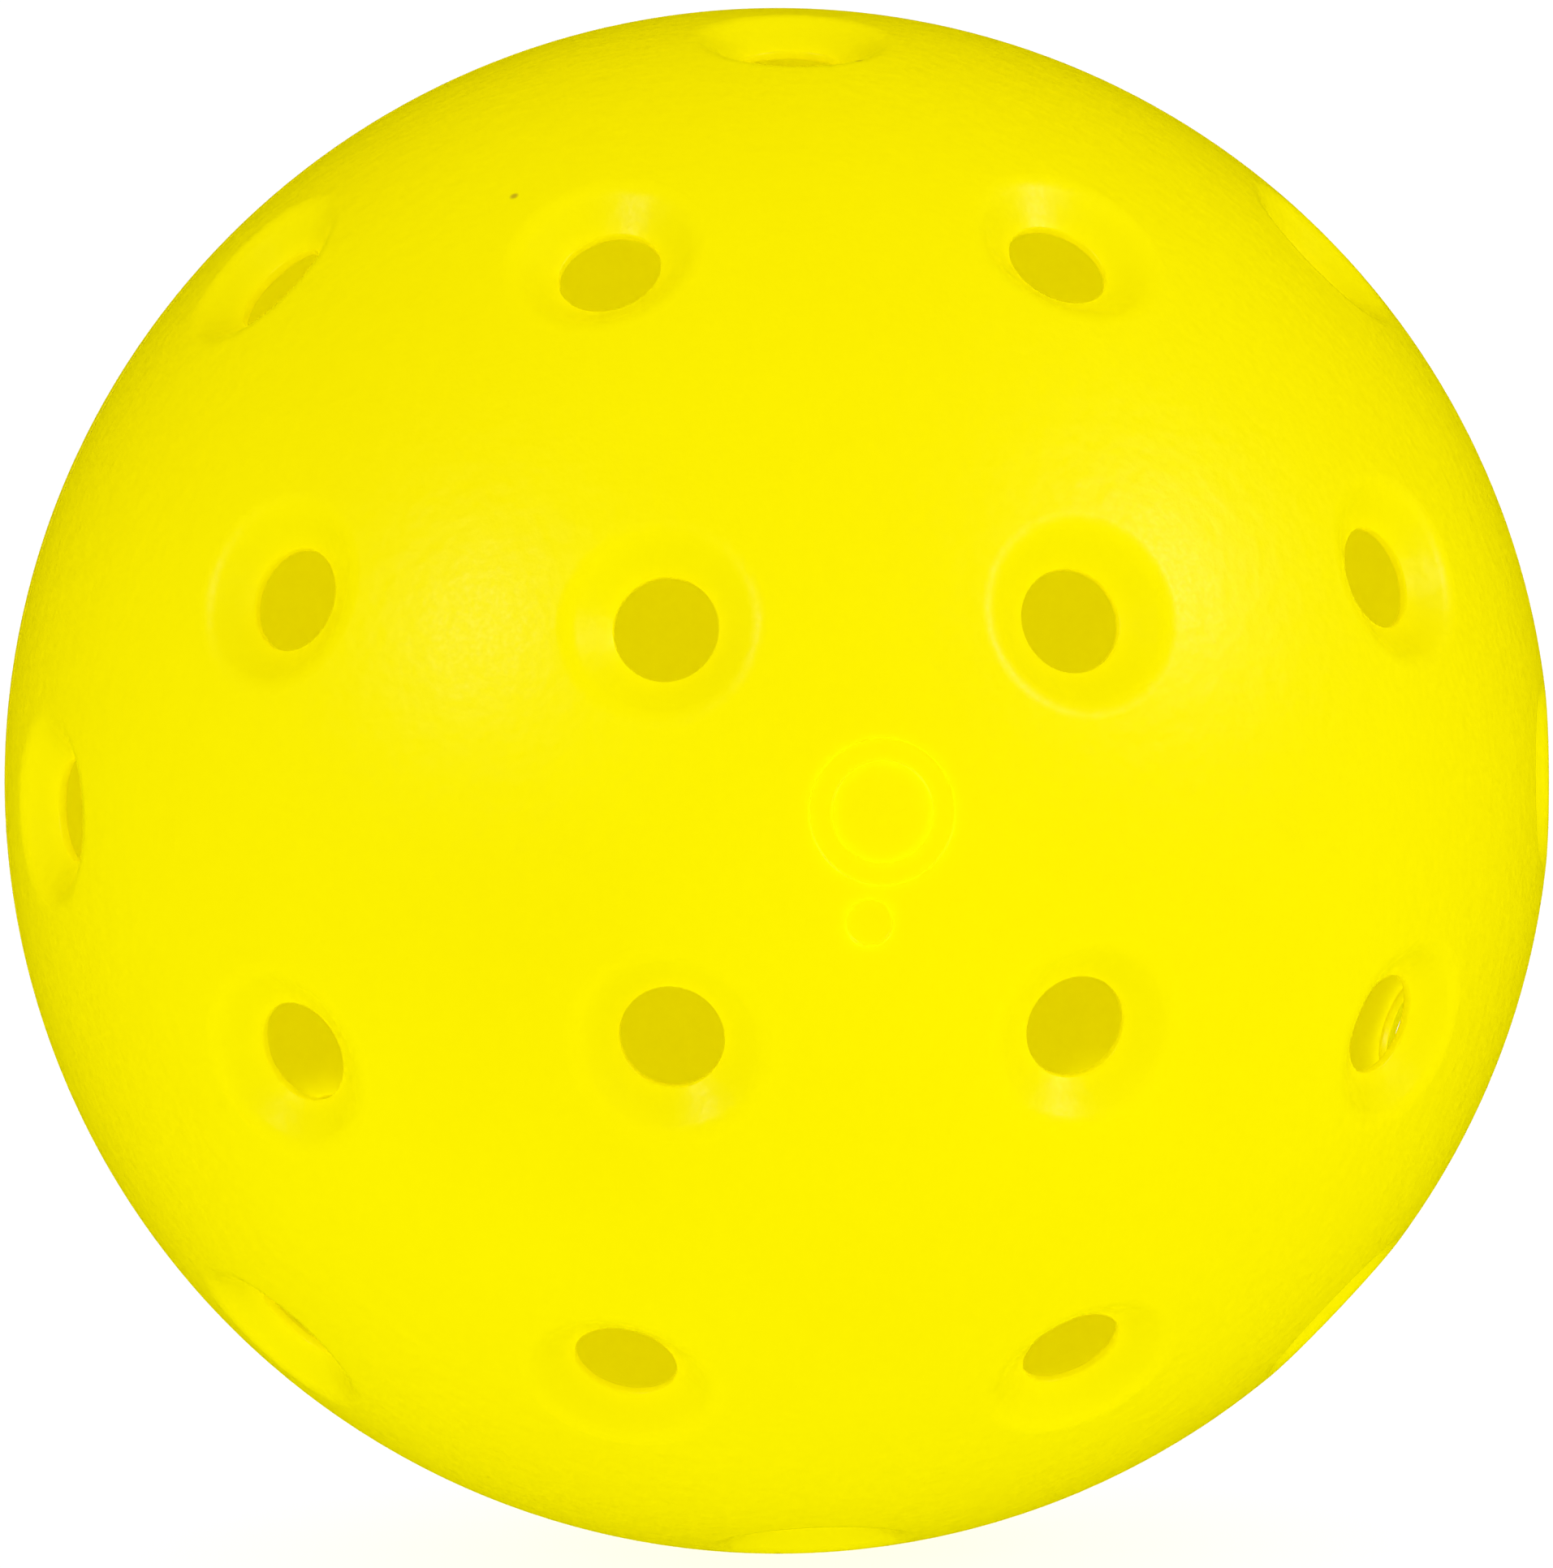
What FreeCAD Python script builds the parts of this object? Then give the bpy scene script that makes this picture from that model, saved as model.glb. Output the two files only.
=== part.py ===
import FreeCAD, Part
import math
import os

# Pickleball ball: two injection-moulded half shells with dished air holes, joined by a stepped
# spigot joint and a weld bead around the equator.
# Own frame: origin at the ball's centre, +Z up, the marked pole of the front half towards -Y,
# and the seam in the plane Y = 0. Millimetres and degrees.

# Shell
BALL_R = 37.0            # outer radius
WALL = 1.8               # wall thickness
INNER_R = BALL_R - WALL

# Air holes: each is a short cylindrical land at the bottom of a conical dish with a rolled rim
LAND_R = 2.4             # radius of the through hole
DISH_SLOPE = 32.0        # slope of the dish, from the tangent plane of the hole
DISH_RIM_R = 4.9         # where the rolled rim runs into the sphere, from the hole's axis
RIM_ROLL_R = 1.5         # radius of the rolled rim in section
RIM_ROLL_PROUD = 0.004   # lifts the roll off true tangency, so that it meets the sphere in an edge

# Rings of holes in each half: polar angle from the half's pole, number of holes, first azimuth.
# The rear half's holes sit half a pitch round from the front half's, so that they interleave
# across the seam.
FRONT_RINGS = [
    (21.5, 4, 45.0),
    (49.7, 8, 22.5),
    (75.0, 8, 0.0),
]
REAR_RINGS = [
    (21.5, 4, 67.5),
    (49.7, 8, 45.0),
    (78.2, 8, 22.5),
]
CLEAR_MERIDIAN = 10.2    # azimuth of a meridian that passes between the holes of all rings

# Seam: the front half's spigot enters the rear half's socket, and the bead fills the outer groove
STEP_R = 36.1            # radius of the spigot's outer face
SPIGOT_LENGTH = 1.6      # how far the spigot passes the seam plane
BEAD_WIDTH = 0.5         # width of the weld bead on the surface

# Gate mark: a round recess left by the hot runner, just below the front pole
GATE_R = 1.05
GATE_DEPTH = 0.25
GATE_POLAR = 6.25
GATE_AZIMUTH = 261.0

# Mould mark: a plain shallow ring, just above the front pole
MARK_INNER_R = 2.3
MARK_OUTER_R = 3.3
MARK_DEPTH = 0.15
MARK_POLAR = 1.6
MARK_AZIMUTH = 90.0

CUT_MARGIN = 2.0         # how far the cutters reach past the wall on either side

ORIGIN = FreeCAD.Vector(0, 0, 0)
POLE = FreeCAD.Vector(0, 0, 1)


def point(r, z):
    """A point of a section, r from the axis and z along it."""
    return FreeCAD.Vector(r, 0, z)


def on_sphere(radius, z):
    """The point of a sphere's section at height z."""
    return point(math.sqrt(radius ** 2 - z ** 2), z)


def line(a, b):
    return Part.LineSegment(a, b).toShape()


def sphere_arc(radius, a, b):
    """The stretch of a sphere's section from a to b, both on it."""
    middle = (a + b) * 0.5
    middle.normalize()
    return Part.Arc(a, middle * radius, b).toShape()


def revolved(edges):
    """The solid that a closed section makes when it is turned about the pole axis."""
    section = Part.Face(Part.Wire(edges))
    section.rotate(ORIGIN, POLE, CLEAR_MERIDIAN)
    return section.revolve(ORIGIN, POLE, 360)


def aimed(shape, polar, azimuth):
    """A copy of a shape on the pole axis, swung out to a polar angle and an azimuth."""
    copy = shape.copy()
    copy.rotate(ORIGIN, FreeCAD.Vector(0, 1, 0), polar)
    copy.rotate(ORIGIN, POLE, azimuth)
    return copy


def half_shell(end_z):
    """A half shell about +Z without its holes.

    Its outer wall stops at the weld bead. Its inner part, inside STEP_R, stops at height end_z:
    below the seam plane for a spigot, above it for a socket.
    """
    lip = on_sphere(BALL_R, BEAD_WIDTH / 2)
    shoulder = point(STEP_R, BEAD_WIDTH / 2)
    step = point(STEP_R, end_z)
    inner_end = on_sphere(INNER_R, end_z)
    outer_pole, inner_pole = point(0, BALL_R), point(0, INNER_R)
    return revolved([
        sphere_arc(BALL_R, outer_pole, lip),
        line(lip, shoulder),
        line(shoulder, step),
        line(step, inner_end),
        sphere_arc(INNER_R, inner_end, inner_pole),
        line(inner_pole, outer_pole),
    ])


def weld_bead():
    """The ring of re-melted plastic between the two outer walls, flush with the sphere."""
    half = BEAD_WIDTH / 2
    low_out, high_out = on_sphere(BALL_R, -half), on_sphere(BALL_R, half)
    low_in, high_in = point(STEP_R, -half), point(STEP_R, half)
    return revolved([
        line(low_in, low_out),
        sphere_arc(BALL_R, low_out, high_out),
        line(high_out, high_in),
        line(high_in, low_in),
    ])


def hole_cutter():
    """The space of one air hole: its land, its conical dish and its rolled rim, about +Z."""
    slope = math.radians(DISH_SLOPE)
    rim_angle = math.asin(DISH_RIM_R / BALL_R)
    outwards = point(math.sin(rim_angle), math.cos(rim_angle))
    roll_centre = outwards * (BALL_R - RIM_ROLL_R + RIM_ROLL_PROUD)

    def on_roll(angle):
        """A point of the roll's section, at an angle that leans towards the hole's axis."""
        return roll_centre + point(-math.sin(angle), math.cos(angle)) * RIM_ROLL_R

    roll_start, roll_end = on_roll(slope), on_roll(-rim_angle)
    roll_middle = on_roll((slope - rim_angle) / 2)
    land_top = point(LAND_R, roll_start.z - (roll_start.x - LAND_R) * math.tan(slope))
    land_bottom = point(LAND_R, INNER_R - CUT_MARGIN)
    mouth = outwards * (BALL_R + CUT_MARGIN)
    axis_low, axis_high = point(0, land_bottom.z), point(0, mouth.z)
    return revolved([
        line(axis_low, land_bottom),
        line(land_bottom, land_top),
        line(land_top, roll_start),
        Part.Arc(roll_start, roll_middle, roll_end).toShape(),
        line(roll_end, mouth),
        line(mouth, axis_high),
        line(axis_high, axis_low),
    ])


def pocket_cutter(inner_r, outer_r, depth):
    """A shallow round pocket about +Z, or a ring-shaped one when inner_r isn't zero."""
    floor_r = BALL_R - depth
    floor_in = point(inner_r, math.sqrt(floor_r ** 2 - inner_r ** 2))
    floor_out = point(outer_r, math.sqrt(floor_r ** 2 - outer_r ** 2))
    top_in = point(inner_r, BALL_R + CUT_MARGIN)
    top_out = point(outer_r, BALL_R + CUT_MARGIN)
    return revolved([
        sphere_arc(floor_r, floor_in, floor_out),
        line(floor_out, top_out),
        line(top_out, top_in),
        line(top_in, floor_in),
    ])


def hole_cutters(rings):
    """The cutters of one half's air holes."""
    cutter = hole_cutter()
    return [
        aimed(cutter, polar, first + 360.0 * index / count)
        for polar, count, first in rings
        for index in range(count)
    ]


def front_half_shell():
    """The marked half: its pole towards -Y, and the front view's up towards +Z."""
    cutters = hole_cutters(FRONT_RINGS) + [
        aimed(pocket_cutter(0, GATE_R, GATE_DEPTH), GATE_POLAR, GATE_AZIMUTH),
        aimed(pocket_cutter(MARK_INNER_R, MARK_OUTER_R, MARK_DEPTH), MARK_POLAR, MARK_AZIMUTH),
    ]
    shell = half_shell(-SPIGOT_LENGTH).cut(cutters)
    shell.rotate(ORIGIN, FreeCAD.Vector(1, 0, 0), 90)
    return shell


def rear_half_shell():
    """The plain half: its pole towards +Y."""
    shell = half_shell(SPIGOT_LENGTH).cut(hole_cutters(REAR_RINGS))
    shell.rotate(ORIGIN, FreeCAD.Vector(1, 0, 0), -90)
    return shell


def seam_weld_bead():
    bead = weld_bead()
    bead.rotate(ORIGIN, FreeCAD.Vector(1, 0, 0), 90)
    return bead


def main():
    os.makedirs("parts", exist_ok=True)
    pieces = {
        "front_half_shell": front_half_shell(),
        "rear_half_shell": rear_half_shell(),
        "seam_weld_bead": seam_weld_bead(),
    }
    for name, shape in pieces.items():
        solid = shape.Solids[0]
        solid.exportStep(f"parts/{name}.step")
        print(name, "solids", len(shape.Solids), "valid", shape.isValid(),
              "volume cm3", round(solid.Volume / 1000, 3))


main()
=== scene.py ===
"""Pickleball ball: the looks of its two moulded half shells and of the weld bead that joins them.

Each half shell is one closed mesh. It is built in its own half frame, in which the half's pole is
+Z and the seam plane is Z = 0, and is then turned into the row frame.
"""
import math

import bpy
import numpy as np
from mathutils import Matrix, Vector, noise
from mathutils.geometry import delaunay_2d_cdt


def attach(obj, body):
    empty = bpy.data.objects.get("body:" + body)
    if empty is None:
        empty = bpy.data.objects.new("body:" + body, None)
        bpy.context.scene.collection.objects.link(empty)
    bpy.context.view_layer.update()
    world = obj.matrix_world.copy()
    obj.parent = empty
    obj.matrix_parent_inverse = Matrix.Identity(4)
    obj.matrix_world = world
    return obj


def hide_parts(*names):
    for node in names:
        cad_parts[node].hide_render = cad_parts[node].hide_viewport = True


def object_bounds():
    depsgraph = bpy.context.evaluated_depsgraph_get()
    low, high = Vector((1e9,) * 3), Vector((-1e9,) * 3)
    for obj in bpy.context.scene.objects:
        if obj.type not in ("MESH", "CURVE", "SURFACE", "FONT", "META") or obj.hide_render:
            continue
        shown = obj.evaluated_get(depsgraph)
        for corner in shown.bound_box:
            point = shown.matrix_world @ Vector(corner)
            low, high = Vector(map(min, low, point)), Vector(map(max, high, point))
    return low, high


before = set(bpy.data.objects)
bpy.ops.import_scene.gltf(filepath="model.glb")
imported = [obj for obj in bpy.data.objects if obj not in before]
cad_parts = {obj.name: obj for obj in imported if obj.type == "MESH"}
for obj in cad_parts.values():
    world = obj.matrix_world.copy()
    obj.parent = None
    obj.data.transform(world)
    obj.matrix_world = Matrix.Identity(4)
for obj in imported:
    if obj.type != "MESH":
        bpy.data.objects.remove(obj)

CAD_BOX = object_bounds()
MM = 0.001

# ------------------------------------------------------------------ sizes, as in the CAD model
BALL_R = (CAD_BOX[1].y - CAD_BOX[0].y) / 2
INNER_R = BALL_R - 1.8 * MM
LAND_R = 2.4 * MM                  # radius of the through hole
DISH_SLOPE = math.radians(32)      # slope of the dish around a hole
DISH_RIM_R = 4.9 * MM              # where the rolled rim runs into the sphere
RIM_ROLL_R = 1.5 * MM
FRONT_RINGS = [                    # polar angle, number of holes, first azimuth
    (21.5, 4, 45.0),
    (49.7, 8, 22.5),
    (75.0, 8, 0.0),
]
REAR_RINGS = [
    (21.5, 4, 67.5),
    (49.7, 8, 45.0),
    (78.2, 8, 22.5),
]
STEP_R = 36.1 * MM                 # outer face of the spigot
SPIGOT_LENGTH = 1.6 * MM
BEAD_WIDTH = 0.5 * MM
GATE_R, GATE_DEPTH = 1.05 * MM, 0.25 * MM
GATE_AIM = (6.25, 261.0)           # polar angle and azimuth
MARK_INNER_R, MARK_OUTER_R = 2.3 * MM, 3.3 * MM
MARK_DEPTH = 0.15 * MM
MARK_AIM = (1.6, 90.0)

# Fine rounds of the moulded edges, and the play between faces that the CAD model leaves touching
LAND_TOP_ROUND = 0.14 * MM
LAND_FOOT_ROUND = 0.12 * MM
GATE_ROUND = 0.1 * MM
MARK_ROUND = 0.07 * MM
LIP_ROUND = 0.07 * MM
PLAY = 0.02 * MM

# The bead's surface lies a little under the sphere and is rippled by the weld
BEAD_EDGE_SINK = 0.06 * MM
BEAD_CROWN_SINK = 0.015 * MM
BEAD_RIPPLE = 0.03 * MM
RIPPLE_CIRCLE_R = 60               # the noise is read round a circle: about 380 ripples a turn

# Mesh density: segments round a hole, the seam and the bead, and the spacing of free vertices
HOLE_SEGMENTS = 64
SEAM_SEGMENTS = 360
BEAD_SEGMENTS = 720
OUTER_SPACING = 0.9 * MM
INNER_SPACING = 1.6 * MM


# ------------------------------------------------------------------ sections
# A section is a list of (radius from an axis, height along it, lean of the surface normal). A lean
# of 0 points up the axis, and a positive lean points away from it.

TO_AXIS, FROM_AXIS, DOWN = -math.pi / 2, math.pi / 2, math.pi


def arc(centre, radius, lean_from, lean_to, steps, side=1):
    """Points of a rounded edge, or with side -1 of a hollow corner, between two leans."""
    return [(centre[0] + side * radius * math.sin(lean),
             centre[1] + side * radius * math.cos(lean), lean)
            for lean in np.linspace(lean_from, lean_to, steps)]


def straight(start, end, lean, steps):
    """Points strictly between two others."""
    return [(start[0] + (end[0] - start[0]) * share, start[1] + (end[1] - start[1]) * share, lean)
            for share in np.linspace(0, 1, steps + 2)[1:-1]]


def height_on(radius, r):
    return math.sqrt(radius ** 2 - r ** 2)


def hole_section():
    """From the outer sphere over the rolled rim, down the dish and the land, to the inner sphere."""
    rim_angle = math.asin(DISH_RIM_R / BALL_R)
    reach = BALL_R - RIM_ROLL_R
    roll_centre = (reach * math.sin(rim_angle), reach * math.cos(rim_angle))
    roll = arc(roll_centre, RIM_ROLL_R, rim_angle, -DISH_SLOPE, 12)

    dish_z = roll[-1][1] - (roll[-1][0] - LAND_R) * math.tan(DISH_SLOPE)
    lift = LAND_TOP_ROUND * (math.tan(DISH_SLOPE) - 1 / math.cos(DISH_SLOPE))
    top = arc((LAND_R + LAND_TOP_ROUND, dish_z + lift), LAND_TOP_ROUND, -DISH_SLOPE, TO_AXIS, 6)

    foot_r, foot_reach = LAND_R + LAND_FOOT_ROUND, INNER_R + LAND_FOOT_ROUND
    foot_centre = (foot_r, height_on(foot_reach, foot_r))
    foot = arc(foot_centre, LAND_FOOT_ROUND, TO_AXIS, math.asin(foot_r / foot_reach) - math.pi, 7)
    return roll + straight(roll[-1], top[0], -DISH_SLOPE, 4) + top + foot


def lip_down(wall_r, edge, steps=6):
    """A rounded edge from the sphere into the wall of a recess, on the side away from the axis."""
    centre = (wall_r + edge, height_on(BALL_R - edge, wall_r + edge))
    return arc(centre, edge, math.asin(centre[0] / (BALL_R - edge)), TO_AXIS, steps)


def gate_section():
    """From the sphere over the recess's edge to its floor, ending short of the axis."""
    floor_z = BALL_R - GATE_DEPTH
    corner = arc((GATE_R - GATE_ROUND, floor_z + GATE_ROUND), GATE_ROUND, TO_AXIS, 0, 6, side=-1)
    floor = [(corner[-1][0] * share, floor_z, 0.0) for share in (0.75, 0.5, 0.25)]
    return lip_down(GATE_R, GATE_ROUND) + corner + floor


def mark_section():
    """From the sphere outside the ring-shaped recess, across its floor, to the sphere inside it."""
    floor_z = height_on(BALL_R - MARK_DEPTH, (MARK_INNER_R + MARK_OUTER_R) / 2)
    corner_z = floor_z + MARK_ROUND
    outer = arc((MARK_OUTER_R - MARK_ROUND, corner_z), MARK_ROUND, TO_AXIS, 0, 6, side=-1)
    inner = arc((MARK_INNER_R + MARK_ROUND, corner_z), MARK_ROUND, 0, FROM_AXIS, 6, side=-1)
    island = (MARK_INNER_R - MARK_ROUND, height_on(BALL_R - MARK_ROUND, MARK_INNER_R - MARK_ROUND))
    lip = arc(island, MARK_ROUND, FROM_AXIS, math.asin(island[0] / (BALL_R - MARK_ROUND)), 6)
    return (lip_down(MARK_OUTER_R, MARK_ROUND) + outer + straight(outer[-1], inner[0], 0.0, 3)
            + inner + lip)


def seam_section(step_r, end_z):
    """From the outer sphere, round the lip and along the step joint, to the inner sphere.

    The inner part of the wall ends at height end_z: below the seam for a spigot, above it for a
    socket.
    """
    face_z = BEAD_WIDTH / 2
    lip_z = face_z + LIP_ROUND
    lip_r = height_on(BALL_R - LIP_ROUND, lip_z)
    lip = arc((lip_r, lip_z), LIP_ROUND, math.atan2(lip_r, lip_z), DOWN, 6)
    end_reach, round_z = INNER_R + LIP_ROUND, end_z + LIP_ROUND
    round_r = height_on(end_reach, round_z)
    end = arc((round_r, round_z), LIP_ROUND, DOWN, math.atan2(-round_r, -round_z) + 2 * math.pi, 6)
    wall_lean = FROM_AXIS if end_z < face_z else 1.5 * math.pi
    corner_lean = (DOWN + wall_lean) / 2
    near, far = (step_r, face_z), (step_r, end_z)
    return (lip + [(*near, corner_lean)] + straight(near, far, wall_lean, 3)
            + [(*far, corner_lean)] + end)


# ------------------------------------------------------------------ mesh building

class Shell:
    """Collects the vertices, analytic normals and faces of one half shell, in its half frame.

    Faces from first_inner_face on are the inside of the wall, and take the second material.
    """

    def __init__(self):
        self.points, self.normals, self.faces = [], [], []
        self.first_inner_face = None

    def add(self, points, normals):
        start = len(self.points)
        self.points.extend(points)
        self.normals.extend(normals)
        return list(range(start, start + len(points)))

    def rings(self, section, axis, segments):
        """Rings of vertices along a section turned about an axis, joined by quads.

        Returns the first and the last ring. Seen from outside, each ring runs counterclockwise.
        """
        side = axis.orthogonal().normalized()
        other = axis.cross(side)
        turns = [2 * math.pi * k / segments for k in range(segments)]
        spokes = [side * math.cos(t) + other * math.sin(t) for t in turns]
        loops = []
        for r, z, lean in section:
            loops.append(self.add([axis * z + spoke * r for spoke in spokes],
                                  [axis * math.cos(lean) + spoke * math.sin(lean)
                                   for spoke in spokes]))
        for outer, inner in zip(loops, loops[1:]):
            for k in range(segments):
                after = (k + 1) % segments
                self.faces.append((outer[k], outer[after], inner[after], inner[k]))
        return loops[0], loops[-1]

    def cap(self, ring, axis, z):
        """Closes a ring with a fan to a point on its axis."""
        tip = self.add([axis * z], [axis])[0]
        for k, here in enumerate(ring):
            self.faces.append((here, ring[(k + 1) % len(ring)], tip))

    def sphere_patch(self, radius, spacing, border, rings, gaps, facing):
        """Triangles over a sphere between its border ring and the rings of what is cut into it.

        gaps lists (axis, smallest angle, largest angle) of the bands that stay open. facing is 1
        for the outer surface and -1 for the inner one.
        """
        keep_off = 0.5 * spacing / radius
        lowest = min(self.points[i].z for i in border) + 0.5 * spacing
        free = [p for p in even_points(radius, spacing)
                if p.z > lowest and all(
                    not (low - keep_off < p.angle(axis) < high + keep_off)
                    for axis, low, high in gaps)]
        indices = self.add(free, [p.normalized() * facing for p in free])
        edges = []
        for ring in [border, *rings]:
            base = len(indices)
            indices.extend(ring)
            edges.extend((base + k, base + (k + 1) % len(ring)) for k in range(len(ring)))
        flat = [flattened(self.points[i], radius) for i in indices]
        whole_hull, tolerance = 0, 1e-7
        _, _, triangles, sources, _, _ = delaunay_2d_cdt(flat, edges, [], whole_hull, tolerance)
        for triangle in triangles:
            corners = [indices[sources[i][0]] for i in triangle]
            middle = sum((self.points[i] for i in corners), Vector())
            if any(low < middle.angle(axis) < high for axis, low, high in gaps):
                continue
            self.faces.append(tuple(corners if facing > 0 else reversed(corners)))

    def as_object(self, name, turn):
        """The finished mesh object, turned from its half frame into the row frame."""
        spin = turn.to_3x3()
        mesh = bpy.data.meshes.new(name)
        mesh.from_pydata([spin @ p for p in self.points], [], self.faces)
        mesh.polygons.foreach_set("material_index", [
            int(k >= self.first_inner_face) for k in range(len(self.faces))])
        mesh.validate()
        mesh.shade_smooth()
        mesh.normals_split_custom_set_from_vertices([(spin @ n)[:] for n in self.normals])
        piece = bpy.data.objects.new(name, mesh)
        bpy.context.scene.collection.objects.link(piece)
        return piece


def even_points(radius, spacing):
    """Points spread evenly over a whole sphere along a golden spiral."""
    count = int(4 * math.pi * radius ** 2 / (spacing ** 2 * math.sqrt(3) / 2))
    golden = math.pi * (3 - math.sqrt(5))
    for k in range(count):
        z = 1 - (2 * k + 1) / count
        r = math.sqrt(1 - z * z)
        yield Vector((r * math.cos(golden * k), r * math.sin(golden * k), z)) * radius


def flattened(p, radius):
    """A sphere's point seen from its far pole on the plane of its equator, which keeps circles."""
    return Vector((p.x, p.y)) / (radius + p.z)


def aim(polar, azimuth):
    polar, azimuth = math.radians(polar), math.radians(azimuth)
    return Vector((math.sin(polar) * math.cos(azimuth), math.sin(polar) * math.sin(azimuth),
                   math.cos(polar)))


def hole_axes(rings):
    return [aim(polar, first + 360 * k / count)
            for polar, count, first in rings for k in range(count)]


def half_shell(name, rings, step_r, end_z, turn, with_marks=False):
    """One half shell with its holes and its side of the step joint, and the gate and mould marks
    if it is the marked half."""
    shell = Shell()
    outer_rings, outer_gaps, inner_rings, inner_gaps = [], [], [], []

    def angle_of(ring, axis):
        return shell.points[ring[0]].angle(axis)

    section = hole_section()
    for axis in hole_axes(rings):
        rim, foot = shell.rings(section, axis, HOLE_SEGMENTS)
        outer_rings.append(rim)
        outer_gaps.append((axis, 0.0, angle_of(rim, axis)))
        inner_rings.append(foot)
        inner_gaps.append((axis, 0.0, angle_of(foot, axis)))
    if with_marks:
        axis = aim(*GATE_AIM)
        rim, last = shell.rings(gate_section(), axis, HOLE_SEGMENTS)
        shell.cap(last, axis, BALL_R - GATE_DEPTH)
        outer_rings.append(rim)
        outer_gaps.append((axis, 0.0, angle_of(rim, axis)))
        axis = aim(*MARK_AIM)
        rim, island = shell.rings(mark_section(), axis, HOLE_SEGMENTS)
        outer_rings += [rim, island]
        outer_gaps.append((axis, angle_of(island, axis), angle_of(rim, axis)))

    # seen from outside the seam's rings run from the border of the outer surface inwards, so
    # their faces are turned over afterwards
    first_face = len(shell.faces)
    border, inner_border = shell.rings(seam_section(step_r, end_z), Vector((0, 0, 1)),
                                       SEAM_SEGMENTS)
    shell.faces[first_face:] = [tuple(reversed(f)) for f in shell.faces[first_face:]]
    shell.sphere_patch(BALL_R, OUTER_SPACING, border, outer_rings, outer_gaps, 1)
    shell.first_inner_face = len(shell.faces)
    shell.sphere_patch(INNER_R, INNER_SPACING, inner_border, inner_rings, inner_gaps, -1)
    return shell.as_object(name, turn)


def bead_surface(z, turn):
    """How far the bead's outer face lies from the axis at a height and a turn round the seam."""
    share = 2 * z / BEAD_WIDTH
    where = Vector((math.cos(turn), math.sin(turn), 0)) * RIPPLE_CIRCLE_R
    ripple = (0.5 + 0.5 * noise.noise(where)) * BEAD_RIPPLE
    sink = BEAD_CROWN_SINK + (BEAD_EDGE_SINK - BEAD_CROWN_SINK) * share ** 2
    return height_on(BALL_R, z) - sink - ripple


def weld_bead(name, turn):
    """The ring of re-melted plastic: a closed strip whose outer face is crowned and rippled."""
    half = BEAD_WIDTH / 2 - PLAY / 2
    across = [half * share for share in np.linspace(-1, 1, 9)]
    floor_r = STEP_R + PLAY / 2
    spin = turn.to_3x3()
    points, faces = [], []
    per_ring = len(across) + 2
    for k in range(BEAD_SEGMENTS):
        angle = 2 * math.pi * k / BEAD_SEGMENTS
        spoke = Vector((math.cos(angle), math.sin(angle), 0))
        up = Vector((0, 0, 1))
        points.extend(spin @ (spoke * bead_surface(z, angle) + up * z) for z in across)
        points.extend(spin @ (spoke * floor_r + up * z) for z in (half, -half))
        here, after = k * per_ring, (k + 1) % BEAD_SEGMENTS * per_ring
        for j in range(per_ring):
            j_next = (j + 1) % per_ring
            faces.append((here + j, after + j, after + j_next, here + j_next))
    mesh = bpy.data.meshes.new(name)
    mesh.from_pydata(points, [], faces)
    mesh.shade_smooth()
    mesh.set_sharp_from_angle(angle=math.radians(50))
    piece = bpy.data.objects.new(name, mesh)
    bpy.context.scene.collection.objects.link(piece)
    return piece


# ------------------------------------------------------------------ materials

class Nodes:
    """A short way to write a node tree."""

    def __init__(self, name):
        self.material = bpy.data.materials.new(name)
        self.material.use_nodes = True
        self.tree = self.material.node_tree
        self.shader = self.tree.nodes["Principled BSDF"]
        self.place = self.tree.nodes.new("ShaderNodeTexCoord").outputs["Object"]

    def add(self, kind, inputs=None, **settings):
        node = self.tree.nodes.new(kind)
        for key, value in settings.items():
            setattr(node, key, value)
        for key, value in (inputs or {}).items():
            self.feed(node.inputs[key], value)
        return node

    def feed(self, socket, value):
        if isinstance(value, bpy.types.NodeSocket):
            self.tree.links.new(value, socket)
        else:
            socket.default_value = value

    def noise(self, size, detail=2.0):
        """Noise from 0 to 1 whose features are about `size` metres across."""
        node = self.add("ShaderNodeTexNoise",
                        {"Vector": self.place, "Scale": 1 / size, "Detail": detail})
        return node.outputs["Fac"]

    def ramp(self, value, low, high, out_low, out_high):
        """Maps low..high to out_low..out_high, and holds the ends."""
        node = self.add("ShaderNodeMapRange", {"Value": value, "From Min": low, "From Max": high,
                                               "To Min": out_low, "To Max": out_high})
        return node.outputs["Result"]

    def blend(self, factor, a, b):
        """A colour between a and b. The Mix node's colour sockets have no names of their own."""
        node = self.add("ShaderNodeMix", data_type="RGBA")
        self.feed(node.inputs[0], factor)
        self.feed(node.inputs[6], a)
        self.feed(node.inputs[7], b)
        return node.outputs[2]

    def bump(self, height, depth, normal=None):
        inputs = {"Height": height, "Strength": 1.0, "Distance": depth}
        if normal is not None:
            inputs["Normal"] = normal
        return self.add("ShaderNodeBump", inputs).outputs["Normal"]


YELLOW = (0.94, 0.89, 0.0, 1.0)
YELLOW_DEEP = (0.935, 0.875, 0.0, 1.0)
YELLOW_WELD = (0.92, 0.84, 0.0, 1.0)
# painted light: the inside's yellows are lighter than the outside's, to brighten the inside seen
# through the holes
YELLOW_CORE_PAINTED_LIGHT = (0.992, 0.986, 0.0, 1.0)
YELLOW_CORE_PAINTED_LIGHT_DEEP = (0.989, 0.98, 0.0, 1.0)
SPECK = (0.55, 0.44, 0.01, 1.0)
FLOOR_PALE = (0.4, 0.4, 0.4, 1.0)
FLOOR_DEEP = (0.36, 0.36, 0.36, 1.0)
FLOOR_GLOW = (0.9, 0.88, 1.0, 1.0)


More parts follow.
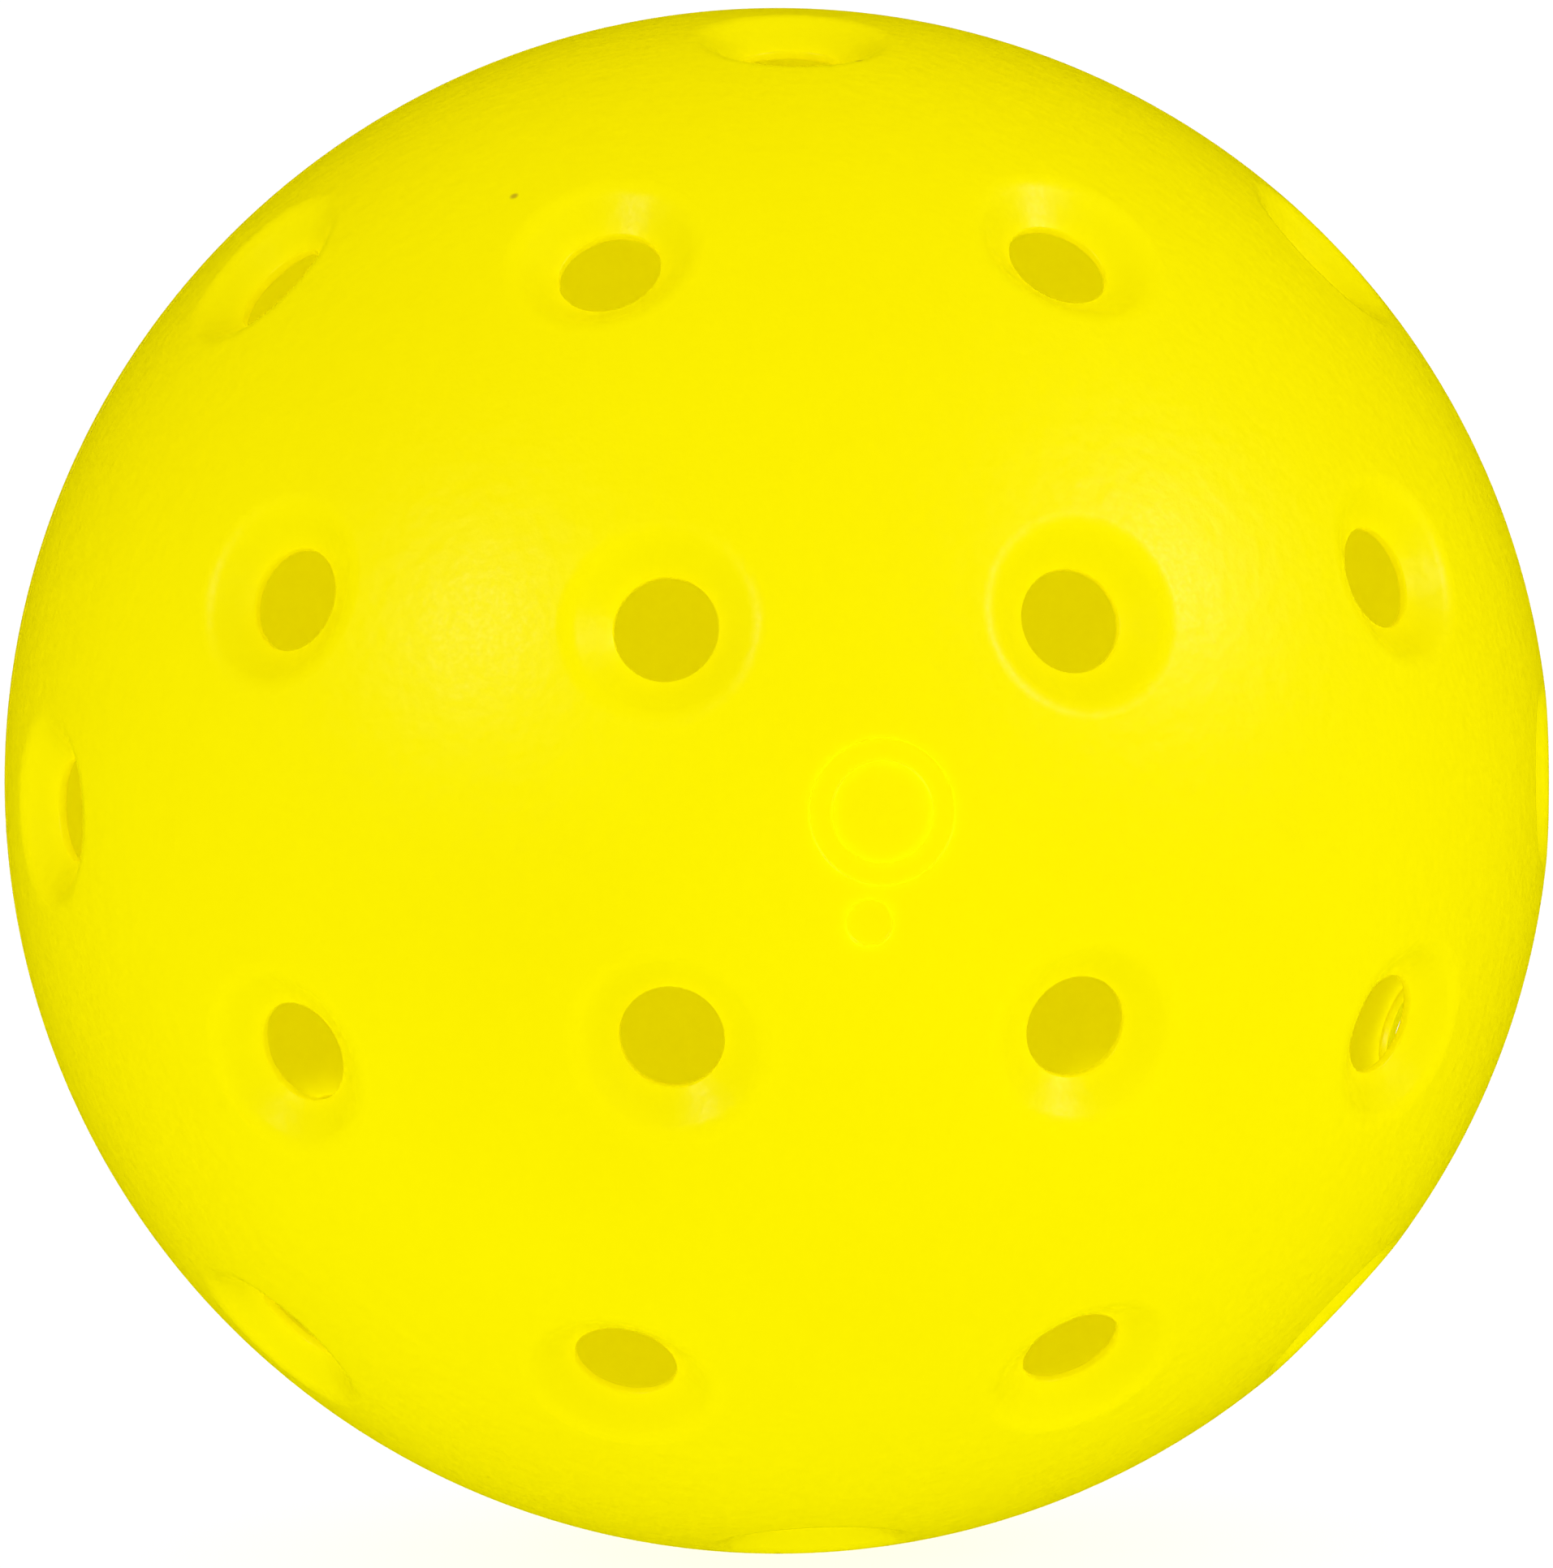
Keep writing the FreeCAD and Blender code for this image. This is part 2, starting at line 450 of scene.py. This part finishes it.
def translucent_plastic(nodes, specular, reach):
    """What all surfaces share: dyed polyethylene, in which light spreads over about `reach`."""
    shader = nodes.shader
    shader.subsurface_method = "BURLEY"
    shader.inputs["Subsurface Weight"].default_value = 1.0
    shader.inputs["Subsurface Radius"].default_value = (1.0, 1.0, 0.3)
    shader.inputs["Subsurface Scale"].default_value = reach
    shader.inputs["IOR"].default_value = 1.5
    shader.inputs["Specular IOR Level"].default_value = specular


def shell_plastic():
    """Satin moulded plastic: fine spark-eroded grain over a soft mottle, faint flow clouds, a rare
    dark speck."""
    nodes = Nodes("shell_plastic")
    shader = nodes.shader
    translucent_plastic(nodes, 0.3, 0.8 * MM)
    clouds = nodes.noise(14 * MM, detail=3.0)
    tone = nodes.blend(nodes.ramp(clouds, 0.35, 0.65, 0.0, 1.0), YELLOW, YELLOW_DEEP)
    specks = nodes.add("ShaderNodeTexVoronoi", {"Vector": nodes.place, "Scale": 1 / (9 * MM)})
    speck = nodes.ramp(specks.outputs["Distance"], 0.012, 0.03, 1.0, 0.0)
    nodes.feed(shader.inputs["Base Color"], nodes.blend(speck, tone, SPECK))

    grain = nodes.noise(0.22 * MM, detail=2.0)
    mottle = nodes.noise(1.0 * MM, detail=1.0)
    nodes.feed(shader.inputs["Roughness"], nodes.ramp(grain, 0.3, 0.7, 0.28, 0.42))
    normal = nodes.bump(mottle, 0.045 * MM)
    nodes.feed(shader.inputs["Normal"], nodes.bump(grain, 0.006 * MM, normal))
    return nodes.material


def core_plastic():
    """The inside of the wall, as the mould's core left it: matt and a little coarser. Its yellow is
    painted lighter than the outside's, as painted light for the inside seen through the holes.
    """
    nodes = Nodes("shell_plastic_inside_painted_light")
    shader = nodes.shader
    translucent_plastic(nodes, 0.0, 1.5 * MM)
    clouds = nodes.noise(11 * MM, detail=3.0)
    cloud = nodes.ramp(clouds, 0.35, 0.65, 0.0, 1.0)
    # painted light: the inside's lighter yellow stands in for light reaching the inside of the ball
    nodes.feed(shader.inputs["Base Color"], nodes.blend(cloud, YELLOW_CORE_PAINTED_LIGHT, YELLOW_CORE_PAINTED_LIGHT_DEEP))
    grain = nodes.noise(0.5 * MM, detail=3.0)
    nodes.feed(shader.inputs["Roughness"], nodes.ramp(grain, 0.3, 0.7, 0.6, 0.75))
    nodes.feed(shader.inputs["Normal"], nodes.bump(grain, 0.02 * MM))
    return nodes.material


def weld_plastic():
    """Re-melted plastic: smoother than the shell, with the streaks of the weld along it."""
    nodes = Nodes("weld_plastic")
    shader = nodes.shader
    translucent_plastic(nodes, 0.4, 0.8 * MM)
    streaks = nodes.noise(1.2 * MM, detail=3.0)
    streak = nodes.ramp(streaks, 0.3, 0.7, 0.0, 1.0)
    nodes.feed(shader.inputs["Base Color"], nodes.blend(streak, YELLOW_DEEP, YELLOW_WELD))
    nodes.feed(shader.inputs["Roughness"], nodes.ramp(streaks, 0.3, 0.7, 0.26, 0.4))
    nodes.feed(shader.inputs["Normal"], nodes.bump(streaks, 0.03 * MM))
    return nodes.material


def floor_paint():
    """Matt paint that gives off some light of its own, so that the floor shows no shadow."""
    nodes = Nodes("floor_paint")
    shader = nodes.shader
    nodes.feed(shader.inputs["Base Color"], nodes.blend(nodes.noise(0.4), FLOOR_PALE, FLOOR_DEEP))
    shader.inputs["Roughness"].default_value = 0.9
    shader.inputs["Specular IOR Level"].default_value = 0.1
    shader.inputs["Emission Color"].default_value = FLOOR_GLOW
    shader.inputs["Emission Strength"].default_value = 0.82
    return nodes.material


# ------------------------------------------------------------------ the ball

TO_FRONT = Matrix.Rotation(math.radians(90), 4, "X")     # the half's pole towards -Y
TO_REAR = Matrix.Rotation(math.radians(-90), 4, "X")     # the half's pole towards +Y


def fit(piece, node, slot, *materials):
    for material in materials:
        piece.data.materials.append(material)
    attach(piece, "root")
    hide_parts(node)


def build_ball():
    shell_materials = shell_plastic(), core_plastic()
    front = half_shell("front_half_moulding", FRONT_RINGS, STEP_R - PLAY, PLAY - SPIGOT_LENGTH,
                       TO_FRONT, with_marks=True)
    rear = half_shell("rear_half_moulding", REAR_RINGS, STEP_R, SPIGOT_LENGTH, TO_REAR)
    bead = weld_bead("seam_weld_ring", TO_FRONT)
    fit(front, "front_half_shell", "shell_plastic", *shell_materials)
    fit(rear, "rear_half_shell", "shell_plastic", *shell_materials)
    fit(bead, "seam_weld_bead", "weld_plastic", weld_plastic())


# ------------------------------------------------------------------ the studio

CENTRE = (CAD_BOX[0] + CAD_BOX[1]) / 2
CAMERA_AZIMUTH = math.radians(-7.3)    # the camera stands a little to the left of the front pole
CAMERA_ELEVATION = math.radians(3.9)   # and a little above it
CAMERA_ROLL = math.radians(-0.8)
CAMERA_DISTANCE = 15 * BALL_R
CAMERA_LENS = 265.6                    # mm, on a 36 mm long side
AIM_RIGHT, AIM_UP = -0.05 * MM, -0.15 * MM

SKY_COLOUR = (1.0, 0.915, 0.86, 1.0)
SKY_LEVEL, SKY_OVERHEAD = 0.82, 0.98   # strength of the soft light at the horizon and overhead
BACKDROP_STRENGTH = 1.05
FLOOR_R = 6.0
LIGHT_BOUNCES = 48                     # the inside of the ball is lit through its holes


def direction(azimuth, elevation):
    """Towards a place around the ball: azimuth 0 is the front, 90 the right, in radians."""
    return Vector((math.sin(azimuth) * math.cos(elevation),
                   -math.cos(azimuth) * math.cos(elevation), math.sin(elevation)))


def place_camera():
    data = bpy.data.cameras.new("camera")
    data.lens = CAMERA_LENS
    data.sensor_width = 36
    data.clip_start, data.clip_end = 0.01, 20
    camera = bpy.data.objects.new("camera", data)
    bpy.context.scene.collection.objects.link(camera)
    back = direction(CAMERA_AZIMUTH, CAMERA_ELEVATION)
    turn = back.to_track_quat("Z", "Y").to_matrix() @ Matrix.Rotation(CAMERA_ROLL, 3, "Z")
    camera.rotation_mode = "QUATERNION"
    camera.rotation_quaternion = turn.to_quaternion()
    camera.location = (CENTRE + back * CAMERA_DISTANCE
                       + turn.col[0] * AIM_RIGHT + turn.col[1] * AIM_UP)
    bpy.context.scene.camera = camera


def softbox(name, azimuth, elevation, distance, size, watts):
    """A square area light that faces the ball. Angles in degrees, as for the camera."""
    data = bpy.data.lights.new(name, "AREA")
    data.shape = "SQUARE"
    data.size = size
    data.energy = watts
    light = bpy.data.objects.new(name, data)
    bpy.context.scene.collection.objects.link(light)
    towards = direction(math.radians(azimuth), math.radians(elevation))
    light.location = CENTRE + towards * distance
    light.rotation_mode = "QUATERNION"
    light.rotation_quaternion = towards.to_track_quat("Z", "Y")


def set_world():
    """Soft light from all around, and a white backdrop that only the camera sees."""
    world = bpy.data.worlds.new("soft_white")
    bpy.context.scene.world = world
    world.cycles_visibility.glossy = False
    world.use_nodes = True
    nodes, links = world.node_tree.nodes, world.node_tree.links
    light, backdrop = nodes["Background"], nodes.new("ShaderNodeBackground")
    light.inputs["Color"].default_value = SKY_COLOUR
    height = nodes.new("ShaderNodeSeparateXYZ")
    links.new(nodes.new("ShaderNodeTexCoord").outputs["Generated"], height.inputs[0])
    overhead = nodes.new("ShaderNodeMapRange")
    overhead.inputs["To Min"].default_value = SKY_LEVEL
    overhead.inputs["To Max"].default_value = SKY_OVERHEAD
    links.new(height.outputs["Z"], overhead.inputs["Value"])
    links.new(overhead.outputs[0], light.inputs["Strength"])
    backdrop.inputs["Color"].default_value = (1, 1, 1, 1)
    backdrop.inputs["Strength"].default_value = BACKDROP_STRENGTH
    seen = nodes.new("ShaderNodeLightPath").outputs["Is Camera Ray"]
    either = nodes.new("ShaderNodeMixShader")
    links.new(seen, either.inputs[0])
    links.new(light.outputs[0], either.inputs[1])
    links.new(backdrop.outputs[0], either.inputs[2])
    links.new(either.outputs[0], nodes["World Output"].inputs["Surface"])


def lay_floor():
    bpy.ops.mesh.primitive_circle_add(vertices=96, radius=FLOOR_R, fill_type="NGON",
                                      location=(CENTRE.x, CENTRE.y, CAD_BOX[0].z))
    floor = bpy.context.object
    floor.name = "floor"
    floor.data.materials.append(floor_paint())
    floor.visible_glossy = False


def build_studio():
    scene = bpy.context.scene
    scene.view_settings.view_transform = "Standard"
    scene.cycles.max_bounces = scene.cycles.diffuse_bounces = LIGHT_BOUNCES
    set_world()
    lay_floor()
    softbox("right_softbox", azimuth=56, elevation=26, distance=0.9, size=0.22, watts=0.93)
    softbox("left_softbox", azimuth=-54, elevation=24, distance=1.1, size=0.2, watts=0.8)


build_ball()
build_studio()
place_camera()
